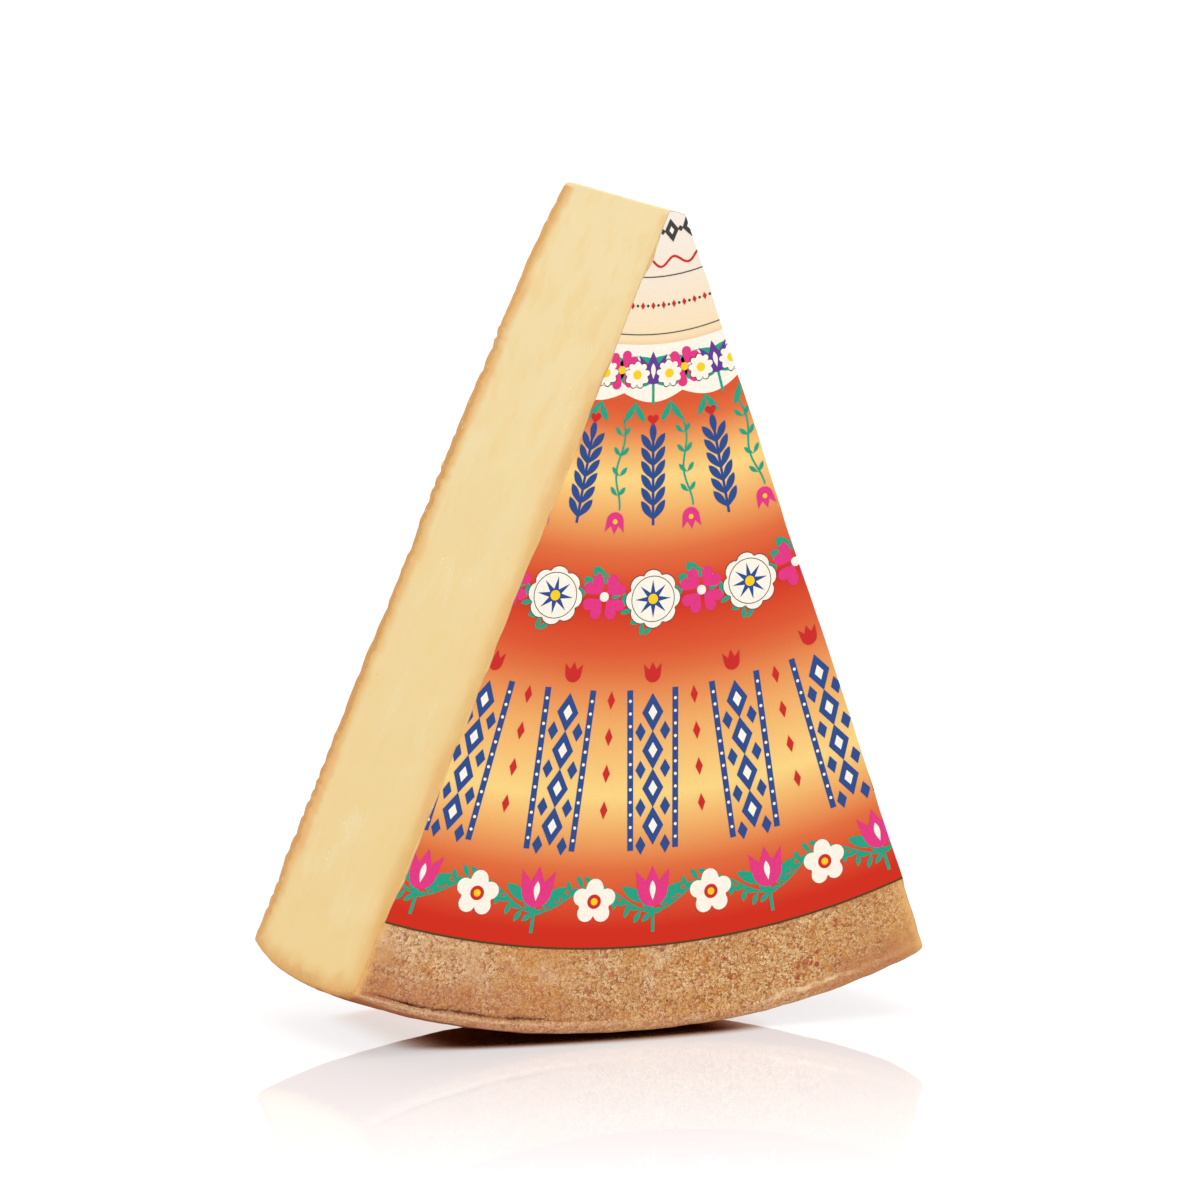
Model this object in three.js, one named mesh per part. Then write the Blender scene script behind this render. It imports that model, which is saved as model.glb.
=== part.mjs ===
// A wedge of hard mountain cheese, cut from a wheel and standing on its curved rim, with the
// printed paper sheet that is pasted on the flat of the wheel.
//
// Millimetres, +Z up. The label faces -Y and the wheel's axis runs along Y. All shapes are worked
// out from the sharp apex, the line where the two cuts would meet. At the end the group is placed
// so that its origin is under the middle of the wedge, on the surface that it stands on.

import * as THREE from 'three';

// ---- the wheel ----
const wheelRadius = 299.1;        // at the middle of the rim
const wheelThickness = 100;       // from flat to flat
const rimBulge = 5;               // how far the rim swells between its two edges
const rimFullness = 3;            // power of the swell: a higher one keeps the rim flatter
const centreX = -9.2;             // the wheel's own centre, from the sharp apex
const centreZ = -3.4;

// ---- the two cuts ----
const cutLeft = 23.8;             // degrees between plumb and each cut
const cutRight = 19.3;
const tipFlat = 5.4;              // the cuts leave a narrow flat instead of a sharp apex
const tipFall = 1.6;              // the flat drops by this towards the right cut

// ---- edges of the wheel ----
const frontRounding = 3;          // radius where the front flat turns over into the rim
const backRounding = 3.2;
const tipWear = 0.6;              // taken off the back corner of the tip
const tipWearLength = 2;
const creaseDistance = 4.2;       // from the rim's edge to the crack that runs beside it
const creaseDepth = 1.1;
const creaseHalfWidth = 0.9;
const creaseFade = 0.75;          // the share of its depth that it loses towards the right cut

// ---- the back flat ----
const backSwell = 2.6;            // the flat stands proud by this well out towards the rim
const backHollow = 6.5;           // and falls back by this at the centre of the wheel
const ridgePitch = 6.4;           // the ridges pressed into the rind by the ripening board
const ridgeHeight = 1.1;
const ridgeWander = 1.2;          // a ridge strays by this much along its length

// ---- where it stands ----
const settled = 2.1;              // the rim has lost this much of its height there in all
const sag = 1;                    // the part of it that is a soft flattening of the curve
const sagReach = 45;              // which dies away over this distance to each side
const sagOffset = -18;            // its middle, from the wheel's centre

// ---- the label ----
const labelRadius = 301.7;        // its outer edge, about a centre of its own above the apex
const labelCentreX = -9.1;
const labelCentreZ = 35;
const labelThickness = 0.4;
const labelGap = 0.2;

// ---- fineness ----
const columns = 22;               // from one cut to the other
const flatRows = 7;               // on the front flat, as far as the rind band
const bandRows = 3;               // on the rind band
const roundingRows = 3;
const rimRows = 10;
const tipRows = 3;
const labelArcSegments = 36;

const radians = THREE.MathUtils.degToRad;
const lerp = THREE.MathUtils.lerp;
const angleFrom = -radians(cutLeft);
const angleTo = radians(cutRight);
const tipDepth = tipFlat / (Math.tan(radians(cutLeft)) + Math.tan(radians(cutRight)));
const halfThickness = wheelThickness / 2;
const bandStart = labelRadius - labelCentreZ + centreZ;
const standHeight = centreZ - wheelRadius + settled;
const ridgeCount = Math.round((wheelRadius - rimBulge - tipDepth) / ridgePitch);

// A smooth uneven value between -1 and 1: three sines whose periods never fall together.
function uneven(x, y, seed) {
  const first = Math.sin(1.31 * x + 2.17 * y + 1.7 * seed);
  const second = Math.sin(2.93 * x - 1.41 * y + 4.1 * seed);
  const third = Math.sin(0.77 * x + 3.71 * y + 2.3 * seed);
  return (first + second + third) / 3;
}

// How far a ray lies from the left cut (0) towards the right cut (1).
function acrossAt(angle) {
  return (angle - angleFrom) / (angleTo - angleFrom);
}

// Distance from the apex, along the ray at this angle, to a circle about a given centre.
function distanceToCircle(angle, radius, x = centreX, z = centreZ) {
  const along = Math.sin(angle) * x - Math.cos(angle) * z;
  return along + Math.sqrt(along * along - x * x - z * z + radius * radius);
}

function distanceToTip(angle) {
  return tipDepth / Math.cos(angle) + tipFall * acrossAt(angle) ** 2;
}

// The rim in section, nearly flat across the middle and falling to its edges by the bulge. It is
// softly flattened where the wedge stands.
function rimRadiusAt(y, angle) {
  const fromMiddle = wheelRadius * Math.sin(angle) - centreX - sagOffset;
  const flattened = sag * Math.exp(-((fromMiddle / sagReach) ** 2));
  return wheelRadius - flattened - rimBulge * Math.abs(y / halfThickness) ** rimFullness;
}

// How far the back flat stands out from its plane, from the tip (0) to the rim (1).
function backDome(fraction) {
  return backSwell * Math.sin(2.5 * fraction) - backHollow * (1 - fraction) ** 14;
}

// The four stretches of one column of the skin, in the plane of the ray at this angle. A point is
// [distance from the apex, y].

// The front flat from the tip out, and the crack beside the rim, which fades to the right.
function frontStretch(angle) {
  const points = [];
  const tip = distanceToTip(angle);
  const bandDistance = distanceToCircle(angle, bandStart);
  for (let row = 0; row < flatRows; row++) {
    points.push([lerp(tip, bandDistance, row / flatRows), -halfThickness]);
  }
  const creaseRadius = rimRadiusAt(halfThickness, angle) - creaseDistance;
  for (let row = 0; row <= bandRows; row++) {
    const radius = lerp(bandStart, creaseRadius - creaseHalfWidth, row / bandRows);
    points.push([distanceToCircle(angle, radius), -halfThickness]);
  }
  const fading = THREE.MathUtils.smoothstep(acrossAt(angle), 0.45, 0.8);
  const depth = creaseDepth * (1 - creaseFade * fading);
  points.push([distanceToCircle(angle, creaseRadius), -halfThickness + depth]);
  points.push([distanceToCircle(angle, creaseRadius + creaseHalfWidth), -halfThickness]);
  return points;
}

// Round the front edge, across the rim and round the back edge.
function rimStretch(angle) {
  const points = [];
  const rimFrom = -halfThickness + frontRounding;
  const rimTo = halfThickness + backDome(1) - backRounding;
  for (let row = 0; row <= roundingRows; row++) {
    const turn = (row / roundingRows) * Math.PI / 2;
    const y = rimFrom - frontRounding * Math.cos(turn);
    const radius = rimRadiusAt(y, angle) - frontRounding * (1 - Math.sin(turn));
    points.push([distanceToCircle(angle, radius), y]);
  }
  for (let row = 1; row < rimRows; row++) {
    const y = lerp(rimFrom, rimTo, row / rimRows);
    points.push([distanceToCircle(angle, rimRadiusAt(y, angle)), y]);
  }
  for (let row = 0; row <= roundingRows; row++) {
    const turn = (row / roundingRows) * Math.PI / 2;
    const radius = rimRadiusAt(rimTo, angle) - backRounding * (1 - Math.cos(turn));
    points.push([distanceToCircle(angle, radius), rimTo + backRounding * Math.sin(turn)]);
  }
  return points;
}

// The back flat from the rim in to the tip: a crest and a hollow for each ridge. The ridges stray
// and change in height along their length, but not at the two ends of the column.
function backStretch(angle, rimDistance) {
  const points = [];
  const tip = distanceToTip(angle);
  for (let step = 1; step < 2 * ridgeCount; step++) {
    const fraction = 1 - step / (2 * ridgeCount);
    const ridge = fraction * ridgeCount;
    const stray = 4 * fraction * (1 - fraction) * ridgeWander * uneven(0.9 * ridge, 9 * angle, 1);
    const height = ridgeHeight * (0.6 + 0.4 * uneven(2.2 * ridge, 14 * angle, 2));
    const side = step % 2 === 1 ? 0.5 : -0.5;
    const y = halfThickness + backDome(fraction) + side * height;
    points.push([lerp(tip, rimDistance, fraction) + stray, y]);
  }
  return points;
}

// The narrow flat at the tip, from its worn back corner to the front.
function tipStretch(angle) {
  const tip = distanceToTip(angle);
  const back = halfThickness + backDome(0);
  const points = [[tip + tipWear, back - tipWear]];
  for (let row = 1; row <= tipRows; row++) {
    points.push([tip, lerp(back - tipWearLength, -halfThickness, row / (tipRows + 1))]);
  }
  return points;
}

function outlineAt(angle) {
  const rim = rimStretch(angle);
  const rimDistance = rim[rim.length - 1][0];
  return [...frontStretch(angle), ...rim, ...backStretch(angle, rimDistance), ...tipStretch(angle)];
}

// Fills an outline with triangles strung between its front and its back, from the tip outwards:
// each step moves on whichever side lags behind.
function fillOutline(outline) {
  const furthest = outline.reduce((best, point, i) => (point[0] > outline[best][0] ? i : best), 0);
  const front = outline.map((_, i) => i).slice(0, furthest + 1);
  const back = outline.map((_, i) => i).slice(furthest + 1).reverse();
  const triangles = [[front[0], front[1], back[0]]];
  let i = 1;
  let j = 0;
  while (i < front.length - 1 || j < back.length - 1) {
    const frontNext = i < front.length - 1 ? outline[front[i + 1]][0] : Infinity;
    const backNext = j < back.length - 1 ? outline[back[j + 1]][0] : Infinity;
    if (frontNext < backNext) {
      triangles.push([front[i], front[i + 1], back[j]]);
      i += 1;
    } else {
      triangles.push([front[i], back[j + 1], back[j]]);
      j += 1;
    }
  }
  return triangles;
}

// The wedge: the columns side by side, and a flat face for each cut. What would reach below the
// surface that it stands on is pressed flat.
function wedgeGeometry() {
  const positions = [];
  const indices = [];
  for (let column = 0; column <= columns; column++) {
    const angle = lerp(angleFrom, angleTo, column / columns);
    for (const [distance, y] of outlineAt(angle)) {
      const z = Math.max(-distance * Math.cos(angle), standHeight);
      positions.push(distance * Math.sin(angle), y, z);
    }
  }

  const count = outlineAt(angleFrom).length;
  for (let column = 0; column < columns; column++) {
    for (let row = 0; row < count; row++) {
      const here = column * count + row;
      const next = column * count + (row + 1) % count;
      indices.push(here, next, next + count, here, next + count, here + count);
    }
  }
  for (const [a, b, c] of fillOutline(outlineAt(angleFrom))) {
    indices.push(a, c, b);
  }
  const last = columns * count;
  for (const [a, b, c] of fillOutline(outlineAt(angleTo))) {
    indices.push(last + a, last + b, last + c);
  }

  const geometry = new THREE.BufferGeometry();
  geometry.setAttribute('position', new THREE.Float32BufferAttribute(positions, 3));
  geometry.setIndex(indices);
  geometry.computeVertexNormals();
  return geometry;
}

// The label: a sector cut flush with the two cuts and the tip, its outer edge one arc.
function labelGeometry() {
  const onRay = (angle, distance) => [distance * Math.sin(angle), -distance * Math.cos(angle)];
  const outerCorner = (angle) => (
    onRay(angle, distanceToCircle(angle, labelRadius, labelCentreX, labelCentreZ))
  );
  const turnOf = ([x, z]) => Math.atan2(z - labelCentreZ, x - labelCentreX);
  const left = outerCorner(angleFrom);
  const right = outerCorner(angleTo);

  const outline = new THREE.Shape();
  outline.moveTo(...onRay(angleFrom, distanceToTip(angleFrom)));
  outline.lineTo(...left);
  outline.absarc(labelCentreX, labelCentreZ, labelRadius, turnOf(left), turnOf(right), false);
  outline.lineTo(...onRay(angleTo, distanceToTip(angleTo)));
  outline.closePath();

  const geometry = new THREE.ExtrudeGeometry(outline, {
    depth: labelThickness,
    bevelEnabled: false,
    curveSegments: labelArcSegments,
  });
  geometry.rotateX(Math.PI / 2);
  geometry.translate(0, -halfThickness - labelGap, 0);
  return geometry;
}

const cheese = new THREE.Mesh(
  wedgeGeometry(),
  new THREE.MeshStandardMaterial({ color: 0xf0d496, roughness: 0.55, metalness: 0 }),
);
cheese.name = 'cheese';

const label = new THREE.Mesh(
  labelGeometry(),
  new THREE.MeshStandardMaterial({ color: 0xdd6a3a, roughness: 0.5, metalness: 0 }),
);
label.name = 'label';

const wedge = new THREE.Group();
wedge.add(cheese, label);
const box = new THREE.Box3().setFromObject(wedge);
wedge.position.set(-(box.min.x + box.max.x) / 2, -(box.min.y + box.max.y) / 2, -box.min.z);

export default wedge;
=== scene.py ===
# A wedge of hard mountain cheese standing on its rind, with the printed paper label on its flat.
# Metres throughout; sizes are written as millimetres times mm. Materials work in millimetres.
import math

import bmesh
import bpy
import numpy as np
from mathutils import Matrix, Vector


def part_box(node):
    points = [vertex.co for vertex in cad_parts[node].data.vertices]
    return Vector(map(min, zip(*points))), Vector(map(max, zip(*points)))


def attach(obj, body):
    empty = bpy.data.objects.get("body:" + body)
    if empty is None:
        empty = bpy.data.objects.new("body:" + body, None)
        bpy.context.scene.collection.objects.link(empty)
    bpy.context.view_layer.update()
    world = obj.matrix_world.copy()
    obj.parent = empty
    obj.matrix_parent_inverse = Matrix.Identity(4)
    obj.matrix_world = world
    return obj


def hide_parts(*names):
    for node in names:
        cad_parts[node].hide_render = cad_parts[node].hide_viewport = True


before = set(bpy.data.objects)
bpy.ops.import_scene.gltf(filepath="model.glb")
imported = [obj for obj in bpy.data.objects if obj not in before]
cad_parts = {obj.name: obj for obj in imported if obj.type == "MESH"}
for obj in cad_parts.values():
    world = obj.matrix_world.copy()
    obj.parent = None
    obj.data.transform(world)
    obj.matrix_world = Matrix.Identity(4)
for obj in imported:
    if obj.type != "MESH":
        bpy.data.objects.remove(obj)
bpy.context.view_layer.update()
mm = 0.001

wheel = {
    "radius": 299.1 * mm,  # at the middle of the rim
    "thickness": 100 * mm,
    "rimBulge": 5 * mm,  # how far the rim swells between its edges
    "rimFullness": 3,
    "centreX": -9.2 * mm,  # its centre, from the sharp apex where the two cuts would meet
    "centreZ": -3.4 * mm,
    "frontRounding": 3 * mm,
    "backRounding": 3.2 * mm,
    "backSwell": 2.6 * mm,  # the back flat bulges as a sine of this many radians from tip to rim
    "backSwellTurn": 2.5,
    "backHollow": 6.5 * mm,  # and falls back at the tip, dying away as this power
    "backHollowPower": 14,
    "sag": 1 * mm,  # the rim is softly flattened where it stands
    "sagReach": 45 * mm,
    "sagOffset": -18 * mm,
    "lean": 1.3 * mm,  # beside the left cut the rim leans towards its back edge
    "leanReach": 0.1,  # how far that goes, as an angle about the apex
}
cuts = {
    "left": math.radians(-23.8),  # from plumb
    "right": math.radians(19.3),
    "tipFlat": 5.4 * mm,
    "tipFall": 1.6 * mm,
    "tipWear": 0.6 * mm,
    "edgeWear": 1.3 * mm,  # how far the rind falls back beside a cut, and within what reach
    "edgeWearReach": 1.6 * mm,
    "rightWear": 0.7,  # the right cut's share of that wear
    "bladeWave": 0.32 * mm,  # how unevenly the blade went through
    "bladeReach": 6 * mm,
    "bladeLayers": {-1: [(1, 26 * mm, 60), (0.6, 8 * mm, 64)], 1: [(1, 26 * mm, 62), (0.6, 8 * mm, 66)]},
}
half = wheel["thickness"] / 2
studioShade = 0.88  # the studio's light makes a surface brighter by one over this


def tones(**colours):
    # colours picked as 0 to 255 under the studio's light, as the linear values that a shader takes
    seen = np.array(list(colours.values())) / 255
    linear = np.where(seen <= 0.04045, seen / 12.92, ((seen + 0.055) / 1.055) ** 2.4)
    return {name: (*row, 1.0) for name, row in zip(colours, (linear * studioShade).tolist())}


def mix(low, high, share):
    return low + (high - low) * share


def ease(value, low, high):
    # 0 below low, 1 above high, with a smooth cubic between
    share = np.clip((value - low) / (high - low), 0, 1)
    return share * share * (3 - 2 * share)


def unevenness(points, layers):
    # value noise: for each (height, size, seed), random corners of a lattice of that size, eased together
    total = 0
    for height, size, seed in layers:
        table = np.random.default_rng(seed).random(4096)
        scaled = points / size
        cell = np.floor(scaled).astype(np.int64)
        inside = scaled - cell
        inside = inside**3 * (inside * (inside * 6 - 15) + 10)
        layer = 0
        for corner in np.ndindex(2, 2, 2):
            x, y, z = (cell[..., i] + corner[i] for i in range(3))
            key = (x * 73856093 ^ y * 19349663 ^ z * 83492791) & 4095
            share = 1
            for i in range(3):
                share = share * (inside[..., i] if corner[i] else 1 - inside[..., i])
            layer = layer + share * table[key]
        total = total + height * (layer * 2 - 1)
    return total


def distanceToCircle(angle, radius, x, z):
    # along a ray from the apex at that angle from plumb, to a circle about (x, z)
    along = np.sin(angle) * x - np.cos(angle) * z
    return along + np.sqrt(along**2 - x**2 - z**2 + radius**2)


def distanceToWheel(angle, radius):
    return distanceToCircle(angle, radius, wheel["centreX"], wheel["centreZ"])


tipDepth = cuts["tipFlat"] / (math.tan(-cuts["left"]) + math.tan(cuts["right"]))
cheeseLow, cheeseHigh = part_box("cheese")
leftReach = distanceToWheel(cuts["left"], wheel["radius"]) * math.sin(cuts["left"])
apex = np.array([cheeseLow.x - leftReach, cheeseLow.y + half, cheeseHigh.z + tipDepth])
print("apex of the wedge at", apex.round(5))


def acrossAt(angle):
    return (angle - cuts["left"]) / (cuts["right"] - cuts["left"])


def distanceToTip(angle):
    return tipDepth / np.cos(angle) + cuts["tipFall"] * acrossAt(angle) ** 2


def pointsOf(*coordinates):
    return np.stack(np.broadcast_arrays(*coordinates), axis=-1)


def squareTo(cut):
    # the level way across a cut, from left to right
    return np.array([math.cos(cut), 0, math.sin(cut)])


def placed(angle, distance, y):
    # from the ray's angle, the distance along it and the depth, to the shared frame
    return pointsOf(apex[0] + distance * np.sin(angle), apex[1] + y, apex[2] - distance * np.cos(angle))


def numbered(rows, columns, first=0):
    return first + np.arange(rows * columns).reshape(rows, columns)


def gridFaces(index, flip=False):
    # quads over a grid of point numbers
    corners = [index[:-1, :-1], index[1:, :-1], index[1:, 1:], index[:-1, 1:]]
    if flip:
        corners.reverse()
    return np.stack(corners, axis=-1).reshape(-1, 4)


def addObject(name, data):
    made = bpy.data.objects.new(name, data)
    bpy.context.scene.collection.objects.link(made)
    return made


def newMesh(name, points, faces, materials, smooth=False):
    mesh = bpy.data.meshes.new(name)
    mesh.from_pydata(points.tolist(), [], [list(face) for face in faces])
    mesh.polygons.foreach_set("use_smooth", [smooth] * len(faces))
    for material in materials:
        mesh.materials.append(material)
    mesh.update()
    return addObject(name, mesh)


def newPiece(name, points, faces, materials, smooth=False):
    piece = newMesh(name, points, faces, materials, smooth)
    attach(piece, "root")
    return piece


# the camera stands to the left of the label and a little above it
camera = {
    "target": Vector(apex) + Vector((-7.96, 0, -151.33)) * mm,
    "azimuth": math.radians(-22.88),
    "elevation": math.radians(10.21),
    "distance": 2.519,
    "lens": 212.75,
}


def makeCamera():
    data = bpy.data.cameras.new("camera")
    data.sensor_width = 36
    data.lens = camera["lens"]
    data.clip_end = 50
    turn, lift = camera["azimuth"], camera["elevation"]
    level = math.cos(lift)
    back = Vector((math.sin(turn) * level, -math.cos(turn) * level, math.sin(lift)))
    made = addObject("camera", data)
    made.location = camera["target"] + back * camera["distance"]
    made.rotation_euler = back.to_track_quat("Z", "Y").to_euler()
    bpy.context.scene.camera = made


makeCamera()


class Field:
    # a node's output; a sum or product of fields is a field too, and adds the node that works it out
    def __init__(self, socket):
        self.socket = socket

    def __getitem__(self, name):
        return Field(self.socket.node.outputs[name])  # another output of the same node

    def __add__(self, other):
        return calculate("ADD", self, other)

    def __sub__(self, other):
        return calculate("SUBTRACT", self, other)

    def __rsub__(self, other):
        return calculate("SUBTRACT", other, self)

    def __mul__(self, other):
        return calculate("MULTIPLY", self, other)

    def __abs__(self):
        return calculate("ABSOLUTE", self)


def setInputs(node, inputs):
    for key, value in inputs.items():
        if isinstance(value, Field):
            node.id_data.links.new(value.socket, node.inputs[key])
        else:
            node.inputs[key].default_value = value


def addNode(kind, inputs, tree=None, **settings):
    # its inputs are numbers or fields; the tree is that of the first field unless it is given
    fields = [value for value in inputs.values() if isinstance(value, Field)]
    tree = tree or fields[0].socket.id_data
    node = tree.nodes.new("ShaderNode" + kind)
    for key, value in settings.items():
        setattr(node, key, value)
    setInputs(node, inputs)
    return Field(node.outputs[0])


def newMaterial(name, unit=mm):
    # a material, its shader, and the place on the object in that unit
    material = bpy.data.materials.new(name)
    material.use_nodes = True
    tree = material.node_tree
    place = addNode("TexCoord", {}, tree)["Object"]
    place = addNode("VectorMath", {0: place, "Scale": 1 / unit}, operation="SCALE")
    return material, tree.nodes["Principled BSDF"], place


def calculate(operation, *values):
    return addNode("Math", dict(enumerate(values)), operation=operation)


def vector(operation, *values):
    return addNode("VectorMath", dict(enumerate(values)), operation=operation)


def larger(first, second):
    return calculate("MAXIMUM", first, second)


def fade(value, low, high, toLow=0.0, toHigh=1.0):
    # a smooth step from toLow to toHigh as the value goes from low to high
    inputs = {"Value": value, "From Min": low, "From Max": high, "To Min": toLow, "To Max": toHigh}
    return addNode("MapRange", inputs, interpolation_type="SMOOTHSTEP")


def blendTones(share, first, second, how="MIX"):
    return addNode("Mix", {0: share, 6: first, 7: second}, data_type="RGBA", blend_type=how)[2]


def painted(colour, palette, coats):
    # coats of (share, name of a tone), each over the ones before
    for share, name in coats:
        colour = blendTones(share, colour, palette[name])
    return colour


def shaded(colour, share):
    shade = addNode("CombineColor", {0: share, 1: share, 2: share})
    return blendTones(1.0, colour, shade, "MULTIPLY")


def noise(place, size, detail=2.0, roughness=0.5, distortion=0.0):
    inputs = {"Scale": 1 / size, "Detail": detail, "Roughness": roughness, "Distortion": distortion}
    return addNode("TexNoise", {"Vector": place, **inputs})


def cells(place, size):
    return addNode("TexVoronoi", {"Vector": place, "Scale": 1 / size})


def picked(cell):
    # a number from 0 to 1 for each cell, the same all over it
    return addNode("SeparateColor", {0: cell["Color"]})


def chosenCells(place, size, share, reach, ragged):
    # blots about the middle of a share of the cells, up to the reach in cells, with ragged edges
    cell = cells(place, size)
    radius = fade(picked(cell), 1 - share, 1, 0, reach)
    return radius - noise(place, size * 0.3) * ragged - cell


def attributeOf(place, name):
    return addNode("Attribute", {}, place.socket.id_data, attribute_name=name)["Fac"]


def bumps(layers):
    # layers of (height, distance in metres, strength), each on top of the one before
    below = {}
    for height, distance, strength in layers:
        inputs = {"Height": height, "Distance": distance, "Strength": strength, **below}
        below = {"Normal": addNode("Bump", inputs)}
    return below


paste = {
    **tones(
        main=(237, 208, 141), pale=(239, 215, 158), deep=(237, 204, 131), speck=(252, 242, 212),
        spot=(232, 172, 92), rindGold=(223, 167, 72), rindBrown=(200, 137, 48),
        crumb=(240, 212, 160), honey=(236, 198, 124),
    ),
    "goldFade": (3.5, 13),  # from where to where each tone fades, in mm from the rind
    "amberFade": (5, 15),
    "brownFade": (1.8, 5.2),
    "surface": {
        "Roughness": 0.42,
        "Specular IOR Level": 0.4,
        "Subsurface Weight": 0.25,
        "Subsurface Radius": (1.0, 0.6, 0.3),
        "Subsurface Scale": 3 * mm,
    },
}


def makePaste():
    # pale yellow, softly clouded, turning gold and then brown towards the rind
    material, shader, place = newMaterial("cutPaste")
    axes = addNode("SeparateXYZ", {0: place})
    front, height = axes["Y"], axes["Z"]
    long = vector("MULTIPLY", place, (0.8, 1, 0.8))
    honey = fade(front, -56, -20, 0.7, 0) * fade(height, 215, 260, 1, 0.15)  # warmer by the label
    wobble = noise(place, 9, 3) * 6 - 3
    nearFront = fade(front, -52, -24, 1, 0) * fade(height, 215, 260, -1.6, 2)
    rindDepth = attributeOf(place, "rindDepth")
    depth = rindDepth + wobble + nearFront + fade(height, 30, 65, 2, 0)
    amber = fade(depth, *paste["amberFade"], 0.55, 0) * fade(noise(place, 26), 0.46, 0.6)
    ragged = noise(place, 2.2, 4, 0.75) * 9 - 4.5
    width = noise(place, 40) * -7 + 3.5
    edge = rindDepth + ragged + width + fade(height, 90, 115, 0, -0.5)
    brown = fade(edge, *paste["brownFade"], 0.85, 0) * fade(height, 15, 75, 0.55, 1)
    brown = brown * fade(height, 185, 265, 1, 0.66)
    crumbs = fade(chosenCells(place, 3.2, 0.4, 0.36, 0.2), -0.05, 0.06, 0, 0.75)
    colour = painted(paste["main"], paste, [
        (fade(noise(place, 60, 3) * 260 + height, 220, 440), "pale"),
        (fade(noise(place, 30, 3) * 140 + height, 60, 210, 0.8, 0), "deep"),
        (fade(noise(long, 13, 4, 0.6), 0.46, 0.68, 0, 0.7), "deep"),
        (fade(noise(long, 19, 4, 0.6), 0.52, 0.7, 0, 0.7), "pale"),
        (fade(cells(place, 2.6), 0.1, 0.24, 0.6, 0) * fade(noise(place, 24), 0.6, 0.7), "speck"),
        (fade(chosenCells(place, 11, 0.35, 0.13, 0.12), -0.05, 0.06, 0, 0.5), "spot"),
        (honey, "honey"),
        (fade(depth, *paste["goldFade"], 0.9, 0), "rindGold"),
        (amber, "spot"),
        (brown, "rindBrown"),
        (crumbs * brown, "crumb"),
    ])
    drawn = vector("MULTIPLY", place, (1, 0.16, 1))
    normal = bumps([
        (noise(place, 10), 0.5 * mm, 0.35),
        (noise(drawn, 2.5, 3, 0.6), 0.15 * mm, 0.4),  # the blade's drag
        (noise(place, 1.2, 3, 0.6), 0.08 * mm, 0.25),
    ])
    setInputs(shader, {"Base Color": colour, **paste["surface"], **normal})
    return material


rind = {
    **tones(
        ground=(188, 125, 70), warm=(198, 130, 60), greyish=(212, 168, 130),
        pinkish=(176, 103, 66), golden=(202, 143, 72), grain=(250, 222, 170),
        crimson=(168, 60, 52), gold=(232, 178, 106), paste=(240, 206, 140), dot=(48, 32, 40),
        crack=(84, 34, 18), pit=(134, 74, 38), lip=(236, 178, 134), lipStreak=(170, 108, 74),
        lipRight=(184, 116, 72), wax=(238, 204, 162), under=(160, 98, 62), deepUnder=(150, 72, 36),
    ),
    "ringSize": 1.25,  # of the grain's rings, crumbs and curls, in mm
    "ringRadius": 0.36,  # as a share of its size
    "crumbSize": 0.68,
    "curlSize": 2.0,
    "spotSize": 2.4,
    "dotSize": 4.5,
    "roughness": 0.75,
    "gloss": 0.3,  # the specular level, but none underneath
}


def rindGrain(place, toLeft, low, rough, x):
    # pale rings and crumbs in cells, and curls along the contour lines of a noise, with dark pits between,
    # partly painted shade in the hollows
    warp = noise(place, 1.2, 1)["Color"]
    bent = vector("MULTIPLY_ADD", warp, (1.2, 1.2, 1.2), place)
    ring = cells(bent, rind["ringSize"])
    rings = fade(abs(ring - rind["ringRadius"]), 0.05, 0.18, 1, 0) * fade(picked(ring), 0.3, 0.8, 0.1, 1)
    crumb = cells(bent, rind["crumbSize"])
    crumbs = fade(crumb, 0.2, 0.5, 1, 0) * fade(picked(crumb), 0.3, 0.8)
    wave = calculate("SINE", noise(place, rind["curlSize"], 1, 0.5, 0.4) * 18)
    fine = noise(place, 0.55, 2, 0.6)
    curls = fade(wave, 0.2, 0.9) * fade(fine, 0.42, 0.56)
    dense = fade(noise(place, 11, 3), 0.36, 0.56, 0.65, 1)
    sides = larger(toLeft, fade(x, 40, 100, 0, 0.7))
    whole = 1 - fade(noise(place, 15, 3, 0.6), 0.4, 0.62, 0.1, 0.8) * sides  # less where it is rubbed
    grain = larger(larger(curls, rings) * whole, crumbs) * dense * (1 - low * 0.35) * rough
    pits = larger(fade(ring, 0.5, 0.75, 0, 0.8), fade(fine, 0.55, 0.68))
    return grain, pits * rough * (1 - grain) * whole, fine


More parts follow.
